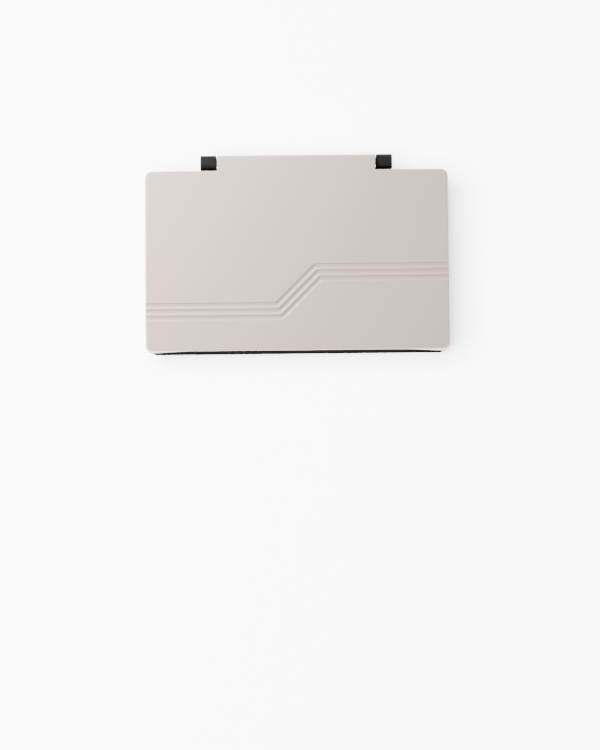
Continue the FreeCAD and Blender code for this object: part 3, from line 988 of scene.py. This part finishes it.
@dataclass
class LidCover:
    """The grey lid: grooved plate, flared skirt with its scoop, hinge tab and two pins."""

    top: float = 16.0
    plate_under: float = 14.6
    seam: float = 11.0
    half_x: float = 49.55
    half_y: float = 29.55
    corner: float = 2.175
    edge: float = 0.45
    edge_steps: int = 5
    flare: float = 0.45
    wall_rows: tuple[float, ...] = (14.2, 12.6)
    lip_rise: float = 0.15
    lip_round: float = 0.12
    lip_chamfer: float = 0.1
    inner_reach: float = 0.95
    inner_fillet: float = 0.5
    fillet_steps: int = 3
    scoop: float = 0.73
    scoop_flat: float = 35.0
    scoop_end: float = 49.2
    scoop_power: float = 1.2
    axis: Flat = HINGE
    tab_half: float = 25.9
    tab_reach: float = 2.05
    tab_front: float = 29.0
    tab_wall: float = 1.3
    tab_end_wall: float = 1.6
    tab_edge: float = 0.95
    tab_end_edge: float = 0.25
    tab_proud: float = 0.003
    tab_under_steps: int = 24
    tab_edge_steps: int = 8
    hollow_front: float = 30.0
    hollow_under: float = 4.0
    hollow_edge: float = 0.8
    hollow_steps: int = 5
    pin_radius: float = 1.3
    pin_end: float = 30.0
    pin_root: float = 0.6
    pin_edge: float = 0.3
    column_spacing: float = 3.0
    plate_shares: tuple[float, ...] = (0.0, 0.25, 0.5, 0.75)
    band: GrooveBand = GrooveBand()

    def _plate(self, shell: Shell, outline: Outline) -> list[int]:
        """The grooved top.

        Args:
            shell: what the faces go to.
            outline: the flat top's border.

        Returns:
            The border's point numbers.
        """
        corners = outline.corner_places()
        left = [-x for x in reversed(corners)]
        heights = [height for _, height in self.band.rails()]
        shares = self.plate_shares
        columns: list[list[int]] = []
        for points in self.band.columns(left, corners, self.column_spacing):
            (rear_x, band_rear), (front_x, band_front) = points[0], points[-1]
            rear, front = outline.ends(rear_x)[1], outline.ends(front_x)[0]
            behind = [(rear_x, rear + (band_rear - rear) * share, self.top) for share in shares]
            before = [(front_x, front + (band_front - front) * share, self.top) for share in shares]
            grooves = [(x, y, self.top + height) for (x, y), height in zip(points, heights)]
            columns.append(shell.row([*behind, *grooves, *reversed(before)]))
        shell.grid(columns)
        return outline.fill(columns)

    def _wall_reach(self, place: Point, way: Flat, z: float) -> float:
        """How far the skirt's outside lies from the plate's border.

        Args:
            place: a point on the border.
            way: the direction straight out of the border there.
            z: the height at which the reach is wanted.

        Returns:
            The reach, less where the front is scooped.
        """
        short = (abs(place[0]) - self.scoop_flat) / (self.scoop_end - self.scoop_flat)
        share = 1 - min(1.0, max(0.0, short)) ** self.scoop_power
        drop = (self.top - self.edge - z) / (self.top - self.edge - self.seam)
        return self.edge + (self.flare - self.scoop * share * max(0.0, -way[1])) * drop

    def _skirt(self, shell: Shell, outline: Outline, border: Sequence[int]) -> None:
        """Everything below the plate's border, outside and inside.

        Args:
            shell: what the faces go to.
            outline: the flat top's border.
            border: the border's point numbers.
        """
        beside = Border(shell, outline, border)
        rows = [beside.first]
        for angle in arc(0, 90, self.edge_steps)[1:]:
            out, height = self.edge * math.sin(angle), self.top - self.edge * (1 - math.cos(angle))
            rows.append(beside.ring(lambda *_: out, lambda z: min(z, height)))
        walls = [(height, 0.0) for height in (*self.wall_rows, self.seam + self.lip_rise)]
        for height, back in (*walls, (self.seam, self.lip_round)):
            rows.append(
                beside.ring(lambda place, way: self._wall_reach(place, way, height) - back, lambda _: height)
            )
        inner = self.edge - self.inner_reach
        inside = [(inner + self.lip_chamfer, self.seam), (inner, self.seam + self.lip_chamfer)]
        for angle in arc(0, 90, self.fillet_steps):
            out = inner - self.inner_fillet * (1 - math.cos(angle))
            inside.append((out, self.plate_under - self.inner_fillet * (1 - math.sin(angle))))
        for out, height in inside:
            rows.append(beside.ring(lambda *_: out, lambda _: height))
        shell.sweep(rows)
        shell.cap(rows[-1])

    def _tab_side(self) -> list[Flat]:
        """The tab's side: flat on top, rounded behind, half round under the pins.

        Returns:
            The side profile's points.
        """
        top = self.top + self.tab_proud
        middle = (self.axis[0] + self.tab_reach - self.tab_edge, top - self.tab_edge)
        below = curve(self.axis, self.tab_reach, arc(-180, 0, self.tab_under_steps))
        shoulder = curve(middle, self.tab_edge, arc(0, 90, self.tab_edge_steps))
        return [(self.tab_front, self.axis[1]), *below, *shoulder, (self.tab_front, top)]

    def _pin(self, side: int) -> bpy.types.Object:
        """One hinge pin with a rounded end, on the side that is 1 for right or -1 for left."""
        ends = sorted((side * (self.tab_half - self.pin_root), side * self.pin_end))
        return prism("hinge_pin", circle(self.axis, self.pin_radius), *ends, self.pin_edge)

    def build(self) -> bpy.types.Object:
        """The whole lid.

        Returns:
            The lid as one solid.
        """
        outline = Outline(self.half_x - self.edge, self.half_y - self.edge, self.corner - self.edge)
        shell = Shell()
        self._skirt(shell, outline, self._plate(shell, outline))
        lid = shell.to_object("lid_shell")
        tab = prism("lid_tab", self._tab_side(), -self.tab_half, self.tab_half, self.tab_end_edge)
        combine(lid, tab, Join.ADD)
        inside = self.tab_half - self.tab_end_wall
        low = (-inside, self.hollow_front, self.hollow_under)
        high = (inside, self.axis[0] + self.tab_reach - self.tab_wall, self.plate_under)
        combine(lid, block("tab_hollow", low, high, self.hollow_edge, self.hollow_steps), Join.CUT)
        for side in (-1, 1):
            combine(lid, self._pin(side), Join.ADD)
        smooth(lid)
        return lid


# ---------------------------------------------------------------- the tray


@dataclass
class BaseTray:
    """The black tray: draughted walls, rim, cavity and hinge hooks.

    The arm's rows are listed from inside the wall to the hook: place along, and how far the arm spreads.
    """

    foot: Outline = Outline(49.0, 29.4, 2.2, -0.3)
    shoulder: Outline = Outline(49.2, 29.6, 2.4, -0.3)
    rim: Outline = Outline(48.2, 28.0, 1.4, -0.2)
    cavity: Outline = Outline(47.0, 26.8, 0.6, -0.2)
    foot_z: float = 0.6
    foot_edge: float = 0.4
    foot_steps: int = 4
    shoulder_z: float = 10.7
    shoulder_edge: float = 0.5
    shoulder_start: float = 15.0
    shoulder_steps: int = 5
    rim_z: float = 12.4
    rim_edge: float = 0.25
    rim_steps: int = 3
    floor_z: float = 2.2
    axis: Flat = HINGE
    hook_near: float = 26.2
    hook_far: float = 31.5
    hook_radius: float = 2.35
    hook_round: float = 1.65
    hook_steps: int = 10
    hook_edge: float = 0.3
    hook_under: float = 10.3
    bore: float = 1.35
    slot: float = 2.3
    cheek: float = 0.8
    cut_past: float = 1.0
    arm_under: float = 7.0
    arm_rows: tuple[Flat, ...] = ((28.7, 0.7), (29.3, 0.45), (29.7, 0.12), (30.2, 0.0), (31.45, 0.0))

    def _walls(self) -> bpy.types.Object:
        """The tray without its hooks and ribs.

        Returns:
            The solid.
        """
        shoulder = arc(self.shoulder_start, 90, self.shoulder_steps)
        loops = [
            *self.foot.rounding(self.foot_z, self.foot_edge, arc(90, 0, self.foot_steps), below=True),
            self.shoulder.loop(self.shoulder_z - self.shoulder_edge),
            *self.shoulder.rounding(self.shoulder_z, self.shoulder_edge, shoulder),
            self.rim.loop(self.shoulder_z),
            *self.rim.rounding(self.rim_z, self.rim_edge, arc(0, 90, self.rim_steps)),
            *self.cavity.rounding(self.rim_z, self.rim_edge, arc(90, 0, self.rim_steps), hole=True),
            self.cavity.loop(self.floor_z),
        ]
        shell = Shell()
        shell.sweep([shell.row(loop) for loop in loops], capped=True)
        return shell.to_object("tray_shell")

    def _hook(self, side: int) -> bpy.types.Object:
        """One hook over a pin, on its arm out of the rear wall.

        Args:
            side: 1 on the right, -1 on the left.

        Returns:
            The hook with its arm, bore and slot.
        """
        low, high = sorted((side * self.hook_near, side * self.hook_far))
        y, z = self.axis
        flat = self.hook_radius - self.hook_round
        over = [
            *curve((y + flat, z + flat), self.hook_round, arc(0, 90, self.hook_steps)),
            *curve((y - flat, z + flat), self.hook_round, arc(90, 180, self.hook_steps)),
        ]
        rear, front = (y + self.hook_radius, self.hook_under), (y - self.hook_radius, self.hook_under)
        hook = prism("hook", [rear, *over, front], low, high, self.hook_edge)
        combine(hook, self._arm(low, high), Join.ADD)
        ends = sorted((side * (self.hook_near - self.cut_past), side * (self.hook_far - self.cheek)))
        half, under = self.slot / 2, self.hook_under - self.cut_past
        for name, profile in (
            ("bore", circle(self.axis, self.bore)),
            ("slot", [(y - half, z), (y - half, under), (y + half, under), (y + half, z)]),
        ):
            combine(hook, prism(name, profile, *ends), Join.CUT)
        return hook

    def _arm(self, low: float, high: float) -> bpy.types.Object:
        """The arm that carries a hook, spreading a little where it leaves the wall.

        Args:
            low: its left side's place across.
            high: its right side's.

        Returns:
            The arm.
        """
        shell = Shell()
        rows = []
        for y, grow in self.arm_rows:
            left, right, under = low - grow, high + grow, self.arm_under - grow
            corners = ((left, under), (right, under), (right, self.shoulder_z), (left, self.shoulder_z))
            rows.append(shell.row((x, y, z) for x, z in corners))
        shell.sweep(rows, capped=True)
        return shell.to_object("hook_arm")

    def build(self) -> bpy.types.Object:
        """The tray with its hooks.

        Returns:
            The tray as one solid.
        """
        tray = self._walls()
        for side in (-1, 1):
            combine(tray, self._hook(side), Join.ADD)
        smooth(tray)
        return tray


class RibTree:
    """The Geometry Nodes tree that draws the underside ribs, with a named input for each size."""

    corner_points: int = 6
    edge_points: int = 4

    def __init__(self, sizes: Iterable[str]) -> None:
        """Makes the tree.

        Args:
            sizes: names of the inputs that are lengths.
        """
        self.tree = bpy.data.node_groups.new("underside_ribs", "GeometryNodeTree")
        face = self.tree.interface
        face.new_socket("Geometry", in_out="OUTPUT", socket_type="NodeSocketGeometry")
        inputs = [(name, "NodeSocketFloat") for name in sizes]
        inputs += [("Centre", "NodeSocketVector"), ("Material", "NodeSocketMaterial")]
        for name, kind in inputs:
            face.new_socket(name, in_out="INPUT", socket_type=kind)
        self.given = self.tree.nodes.new("NodeGroupInput").outputs
        self._draw()

    def _add(
        self, kind: str, settings: dict[str, object], inputs: dict[str | int, object]
    ) -> bpy.types.NodeSocket:
        """Adds a node.

        Args:
            kind: the node's type.
            settings: its own settings.
            inputs: for each socket a value, another node's output, or a list of such outputs.

        Returns:
            Its first output.
        """
        node = self.tree.nodes.new(kind)
        for name, value in settings.items():
            setattr(node, name, value)
        for name, value in inputs.items():
            for one in value if isinstance(value, list) else [value]:
                if isinstance(one, bpy.types.NodeSocket):
                    self.tree.links.new(one, node.inputs[name])
                else:
                    node.inputs[name].default_value = one
        return node.outputs[0]

    def _number(self, operation: str, first: object, second: object) -> bpy.types.NodeSocket:
        """The result of a Math node on two numbers."""
        return self._add("ShaderNodeMath", {"operation": operation}, {0: first, 1: second})

    def _rectangle(self, width: object, depth: object, corner: str, count: int) -> bpy.types.NodeSocket:
        """A rectangle with round corners.

        Args:
            width: its size across.
            depth: its size along.
            corner: name of the input that gives its corners' radius.
            count: points round each corner.

        Returns:
            The curve.
        """
        kind = "GeometryNodeCurvePrimitiveQuadrilateral"
        outline = self._add(kind, {"mode": "RECTANGLE"}, {"Width": width, "Height": depth})
        inputs = {"Curve": outline, "Radius": self.given[corner], "Count": count, "Limit Radius": True}
        return self._add("GeometryNodeFilletCurve", {"mode": "POLY"}, inputs)

    def _ring(self, width: str, depth: str) -> bpy.types.NodeSocket:
        """The middle line of a ring.

        Args:
            width: name of its outer size across.
            depth: name of its outer size along.

        Returns:
            The curve.
        """
        rib = self.given["Rib Width"]
        sizes = [self._number("SUBTRACT", self.given[name], rib) for name in (width, depth)]
        return self._rectangle(*sizes, "Corner", self.corner_points)

    def _bar(self, outer: str, inner: str, upright: bool, side: float) -> bpy.types.NodeSocket:
        """The middle line of a short rib between the two rings.

        Args:
            outer: name of the outer ring's size in the rib's direction.
            inner: name of the inner ring's.
            upright: whether the rib runs along Y.
            side: which way from the middle it lies, 1 or -1.

        Returns:
            The curve.
        """
        half = self._number("MULTIPLY", self.given["Rib Width"], 0.5)
        ends = {}
        for key, name in (("Start", inner), ("End", outer)):
            reach = self._number("SUBTRACT", self._number("MULTIPLY", self.given[name], 0.5), half)
            place = {"Y" if upright else "X": self._number("MULTIPLY", reach, side)}
            ends[key] = self._add("ShaderNodeCombineXYZ", {}, place)
        return self._add("GeometryNodeCurvePrimitiveLine", {"mode": "POINTS"}, ends)

    def _draw(self) -> None:
        """Rings and ribs joined into one mesh, moved into place and given their material."""
        section = self._rectangle(self.given["Rib Width"], self.given["Rib Height"], "Edge", self.edge_points)
        paths = [self._ring("Foot Width", "Foot Depth"), self._ring("Label Width", "Label Depth")]
        paths += [self._bar("Foot Width", "Label Width", False, side) for side in (-1.0, 1.0)]
        paths += [self._bar("Foot Depth", "Label Depth", True, side) for side in (-1.0, 1.0)]
        drawn = {"Profile Curve": section, "Fill Caps": True}
        ribs = [self._add("GeometryNodeCurveToMesh", {}, {"Curve": path, **drawn}) for path in paths]
        union = self._add("GeometryNodeMeshBoolean", {"operation": "UNION", "solver": "EXACT"}, {1: ribs})
        level = self._add("ShaderNodeCombineXYZ", {}, {"Z": self.given["Level"]})
        shift = self._add("ShaderNodeVectorMath", {"operation": "ADD"}, {0: level, 1: self.given["Centre"]})
        moved = self._add("GeometryNodeSetPosition", {}, {"Geometry": union, "Offset": shift})
        real = self._add("GeometryNodeRealizeInstances", {}, {"Geometry": moved})
        finish = {"Geometry": real, "Material": self.given["Material"]}
        painted = self._add("GeometryNodeSetMaterial", {}, finish)
        self.tree.links.new(painted, self.tree.nodes.new("NodeGroupOutput").inputs[0])


@dataclass
class UndersideRibs:
    """The ring that the case stands on, the ring round the label and the four short ribs between them."""

    foot_width: float = 95.6
    foot_depth: float = 54.0
    label_width: float = 65.3
    label_depth: float = 28.5
    rib_width: float = 1.05
    rib_height: float = 0.62
    sunk: float = 0.1
    corner: float = 0.9
    edge: float = 0.22
    centre_y: float = -0.3

    def build(self, material: bpy.types.Material) -> bpy.types.Object:
        """The ribs.

        Args:
            material: the tray's material.

        Returns:
            The ribs as one mesh.
        """
        height = self.rib_height + self.sunk
        sizes = {
            "Foot Width": self.foot_width,
            "Foot Depth": self.foot_depth,
            "Label Width": self.label_width,
            "Label Depth": self.label_depth,
            "Rib Width": self.rib_width,
            "Rib Height": height,
            "Corner": self.corner,
            "Edge": self.edge,
            "Level": height / 2,
        }
        values = {name: size * MM for name, size in sizes.items()}
        values.update({"Centre": (0.0, self.centre_y * MM, 0.0), "Material": material})
        ribs = Shell().to_object("underside_ribs")
        modifier = ribs.modifiers.new("ribs", "NODES")
        modifier.node_group = RibTree(sizes).tree
        for item in modifier.node_group.interface.items_tree:
            if item.in_out == "INPUT":
                modifier[item.identifier] = values[item.name]
        settle(ribs)
        smooth(ribs)
        return ribs


# ---------------------------------------------------------------- the pad


@dataclass
class PadFrame:
    """The collar that borders the inked cloth, with soft edges."""

    outer: Outline = Outline(46.8, 26.6, 0.55, -0.2)
    window: Outline = Outline(45.0, 25.0, 1.0, -0.2)
    leg: Outline = Outline(45.8, 25.6, 0.4, -0.2)
    low: float = 2.2
    top: float = 10.2
    flange_under: float = 9.0
    edge: float = 0.35
    edge_steps: int = 4

    def build(self) -> bpy.types.Object:
        """The collar.

        Returns:
            The collar as one closed ring.
        """
        loops = [
            self.outer.loop(self.low),
            *self.outer.rounding(self.top, self.edge, arc(0, 90, self.edge_steps)),
            *self.window.rounding(self.top, self.edge, arc(90, 0, self.edge_steps), hole=True),
            self.window.loop(self.flange_under),
            self.leg.loop(self.flange_under),
            self.leg.loop(self.low),
        ]
        shell = Shell()
        shell.sweep([shell.row(loop) for loop in loops], round_trip=True)
        collar = shell.to_object("pad_collar")
        smooth(collar)
        return collar


@dataclass
class InkedPad:
    """The soaked cloth over its felt: crowned, fullest in the middle, pulled in round its edge.

    The cloth's sides are listed from the top down: how far past the edge, and height. The ripples are listed
    by waves in a millimetre, the noise's layer, and share.
    """

    centre_y: float = -0.2
    half_x: float = 44.7
    half_y: float = 24.7
    corner: float = 1.6
    edge: float = 1.1
    outside_steps: int = 6
    inside_steps: int = 4
    felt_steps: int = 3
    edge_top: float = 9.75
    crown: float = 0.85
    crown_power: float = 0.7
    across_power: int = 4
    along_power: int = 3
    low: float = 3.35
    sides: tuple[Flat, ...] = ((0.05, 7.0), (-0.02, 4.4), (-0.1, 3.35))
    thickness: float = 0.5
    felt_gap: float = 0.2
    felt_drop: float = 0.1
    spacing: float = 0.9
    unevenness: float = 0.05
    ripples: tuple[Point, ...] = ((0.11, 3.7, 1.0), (0.4, 9.1, 0.4))

    def _height(self, x: float, y: float, sunk: float) -> float:
        """The cloth's height at a place.

        Args:
            x: place across.
            y: place along.
            sunk: how far under the cloth's face.

        Returns:
            The height.
        """
        across, along = abs(x) / self.half_x, abs(y - self.centre_y) / self.half_y
        fullness = (1 - min(across, 1) ** self.across_power) * (1 - min(along, 1) ** self.along_power)
        ripple = sum(
            share * noise.noise(Vector((x * waves, y * waves, layer))) for waves, layer, share in self.ripples
        )
        rise = self.crown * fullness**self.crown_power + self.unevenness * ripple * fullness
        return self.edge_top + rise - sunk

    def _face(self, shell: Shell, outline: Outline, sunk: float) -> list[int]:
        """A crowned face and its border.

        Args:
            shell: what the faces go to.
            outline: the face's border.
            sunk: how far it lies under the cloth's face.

        Returns:
            The border's point numbers.
        """
        corners = outline.corner_places()
        flat = outline.half_x - outline.radius
        across = [-x for x in reversed(corners)] + spread(-flat, flat, self.spacing) + corners
        steps = round(2 * outline.half_y / self.spacing)
        columns = []
        for x in across:
            front, rear = outline.ends(x)
            places = [rear + (front - rear) * step / steps for step in range(steps + 1)]
            columns.append(shell.row((x, y, self._height(x, y, sunk)) for y in places))
        shell.grid(columns)
        return outline.fill(columns)

    def _skin(
        self, shell: Shell, gap: float, sunk: float, turn: int, sides: Iterable[Flat]
    ) -> list[list[int]]:
        """A crowned face, turned down round its edge, and what is below it.

        Args:
            shell: what the faces go to.
            gap: how far the face's border lies inside the cloth's.
            sunk: how far it lies under the cloth's face.
            turn: rows round the turned edge.
            sides: how far past the edge and at what height each lower row lies.

        Returns:
            The rows from the face's border down, not yet joined.
        """
        inset = self.edge + gap
        outline = Outline(self.half_x - inset, self.half_y - inset, self.corner - self.edge, self.centre_y)
        radius = self.edge - self.thickness if sunk else self.edge
        beside = Border(shell, outline, self._face(shell, outline, sunk))
        rows = [beside.first]
        for angle in arc(0, 90, turn)[1:]:
            out, drop = radius * math.sin(angle), radius * (1 - math.cos(angle))
            rows.append(beside.ring(lambda *_: out, lambda z: z - drop))
        for past, level in sides:
            rows.append(beside.ring(lambda *_: radius + past, lambda _: level))
        return rows

    def build_cloth(self) -> bpy.types.Object:
        """The cloth.

        Returns:
            The cloth as a shell open below.
        """
        shell = Shell()
        outside = self._skin(shell, 0.0, 0.0, self.outside_steps, self.sides)
        inside = self._skin(shell, 0.0, self.thickness, self.inside_steps, [(0.0, self.low)])
        shell.sweep(outside)
        shell.sweep(inside)
        shell.skin(outside[-1], inside[-1])
        cloth = shell.to_object("inked_cloth_pad")
        smooth(cloth)
        return cloth

    def build_felt(self) -> bpy.types.Object:
        """The felt.

        Returns:
            A crowned block that fills the cloth.
        """
        shell = Shell()
        sunk = self.thickness + self.felt_drop
        rows = self._skin(shell, self.felt_gap, sunk, self.felt_steps, [(0.0, self.low)])
        shell.sweep(rows)
        shell.cap(rows[-1])
        felt = shell.to_object("felt_block")
        smooth(felt)
        return felt


# ---------------------------------------------------------------- the studio

KEY_PLACE: Point = (-170, 95, 148)


@dataclass(frozen=True)
class Lamp:
    """A square lamp that faces the case."""

    name: str
    place: Point
    size: float
    power: float
    colour: Colour = (1.0, 1.0, 1.0)

    def light(self, lit: Iterable[bpy.types.Object]) -> None:
        """Hangs the lamp.

        Args:
            lit: the objects that its light is kept to.
        """
        data = bpy.data.lights.new(self.name, "AREA")
        data.shape = "SQUARE"
        data.size = self.size * MM
        data.energy = self.power
        data.color = self.colour
        lamp = bpy.data.objects.new(self.name, data)
        lamp.location = Vector(self.place) * MM
        lamp.rotation_euler = (-lamp.location).to_track_quat("-Z", "Y").to_euler()
        lamp.visible_camera = False
        bpy.context.scene.collection.objects.link(lamp)
        group = bpy.data.collections.new(f"{self.name}_lit")
        for thing in lit:
            group.objects.link(thing)
        lamp.light_linking.receiver_collection = group


@dataclass
class Studio:
    """The floor, the lights and the camera."""

    camera_place: Point = (1.26, -87.33, 693.7)
    tilt: float = 0.0729
    lean: float = 0.0018
    roll: float = -0.0102
    focal_length: float = 100.3
    view_range: Flat = (10.0, 20000.0)
    floor_size: float = 6000.0
    sky: float = 0.8
    floor_wash: Lamp = Lamp("floor_wash", (-500, 0, 1400), size=1300, power=291.0)
    lid_key: Lamp = Lamp("lid_key", KEY_PLACE, size=90, power=2.09, colour=(1.0, 0.824, 0.728))
    tray_key: Lamp = Lamp("tray_key", KEY_PLACE, size=90, power=2.04, colour=(1.0, 0.96, 0.95))

    def _camera(self) -> None:
        """The camera, high above the table and a little towards the front."""
        lens = bpy.data.cameras.new("camera")
        lens.lens = self.focal_length
        lens.clip_start, lens.clip_end = (limit * MM for limit in self.view_range)
        camera = bpy.data.objects.new("camera", lens)
        turn = Matrix.Rotation(self.roll, 4, "Z") @ Matrix.Rotation(self.lean, 4, "Y")
        turn = turn @ Matrix.Rotation(self.tilt, 4, "X")
        camera.matrix_world = Matrix.Translation(Vector(self.camera_place) * MM) @ turn
        bpy.context.scene.collection.objects.link(camera)
        bpy.context.scene.camera = camera

    def _sky(self) -> None:
        """Even white light from all round."""
        world = bpy.data.worlds.new("studio")
        world.use_nodes = True
        background = world.node_tree.nodes["Background"]
        background.inputs["Color"].default_value = (1.0, 1.0, 1.0, 1.0)
        background.inputs["Strength"].default_value = self.sky
        bpy.context.scene.world = world

    def build(self, floor_material: bpy.types.Material) -> None:
        """Everything round the object but the lamps on it.

        Args:
            floor_material: the floor's material.
        """
        self._camera()
        self._sky()
        half = self.floor_size / 2
        shell = Shell()
        shell.cap(shell.row([(-half, -half, 0), (half, -half, 0), (half, half, 0), (-half, half, 0)]))
        floor = shell.to_object("floor")
        floor.data.materials.append(floor_material)
        self.floor_wash.light([floor])

    def light_case(self, lid: bpy.types.Object) -> None:
        """Lights the case from the left, once every piece is there.

        Args:
            lid: the lid, which has the warmer lamp to itself.
        """
        others = ("floor", lid.name)
        meshes = [thing for thing in bpy.data.objects if thing.type == "MESH"]
        self.lid_key.light([lid])
        self.tray_key.light([thing for thing in meshes if thing.name not in others])


def dress_carried_over(finishes: Finishes) -> None:
    """Gives the CAD nodes that stay their detailed materials.

    Args:
        finishes: the finishes.
    """
    for node, finish in (("backing_card", finishes.board), ("base_label", finishes.label)):
        carried = frame["nodes"][node]
        carried.data.materials.clear()
        carried.data.materials.append(finish.make())
        log.info("%s: carried over, %s", node, finish.name)


def main() -> None:
    """Builds the studio and every piece, in order."""
    logging.basicConfig(level=logging.INFO, format="%(name)s: %(message)s")
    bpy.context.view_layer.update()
    finishes = Finishes()
    tray_finish = finishes.tray.make()
    studio = Studio()
    studio.build(finishes.floor.make())
    lid = dress(LidCover().build(), finishes.lid.make(), Body.LID, Slot.LID, "lid_cover")
    dress(BaseTray().build(), tray_finish, Body.BASE, Slot.TRAY, "base_tray")
    dress(UndersideRibs().build(tray_finish), tray_finish, Body.BASE, Slot.TRAY, "base_tray")
    dress(PadFrame().build(), finishes.frame.make(), Body.BASE, Slot.FRAME, "pad_frame")
    pad = InkedPad()
    cloth = dress(pad.build_cloth(), finishes.cloth.make(), Body.BASE, Slot.CLOTH, "ink_cloth")
    dress(pad.build_felt(), finishes.felt.make(), Body.BASE, Slot.FELT, "felt_core")
    dress_carried_over(finishes)
    studio.light_case(lid)


if __name__ == "__main__":
    main()
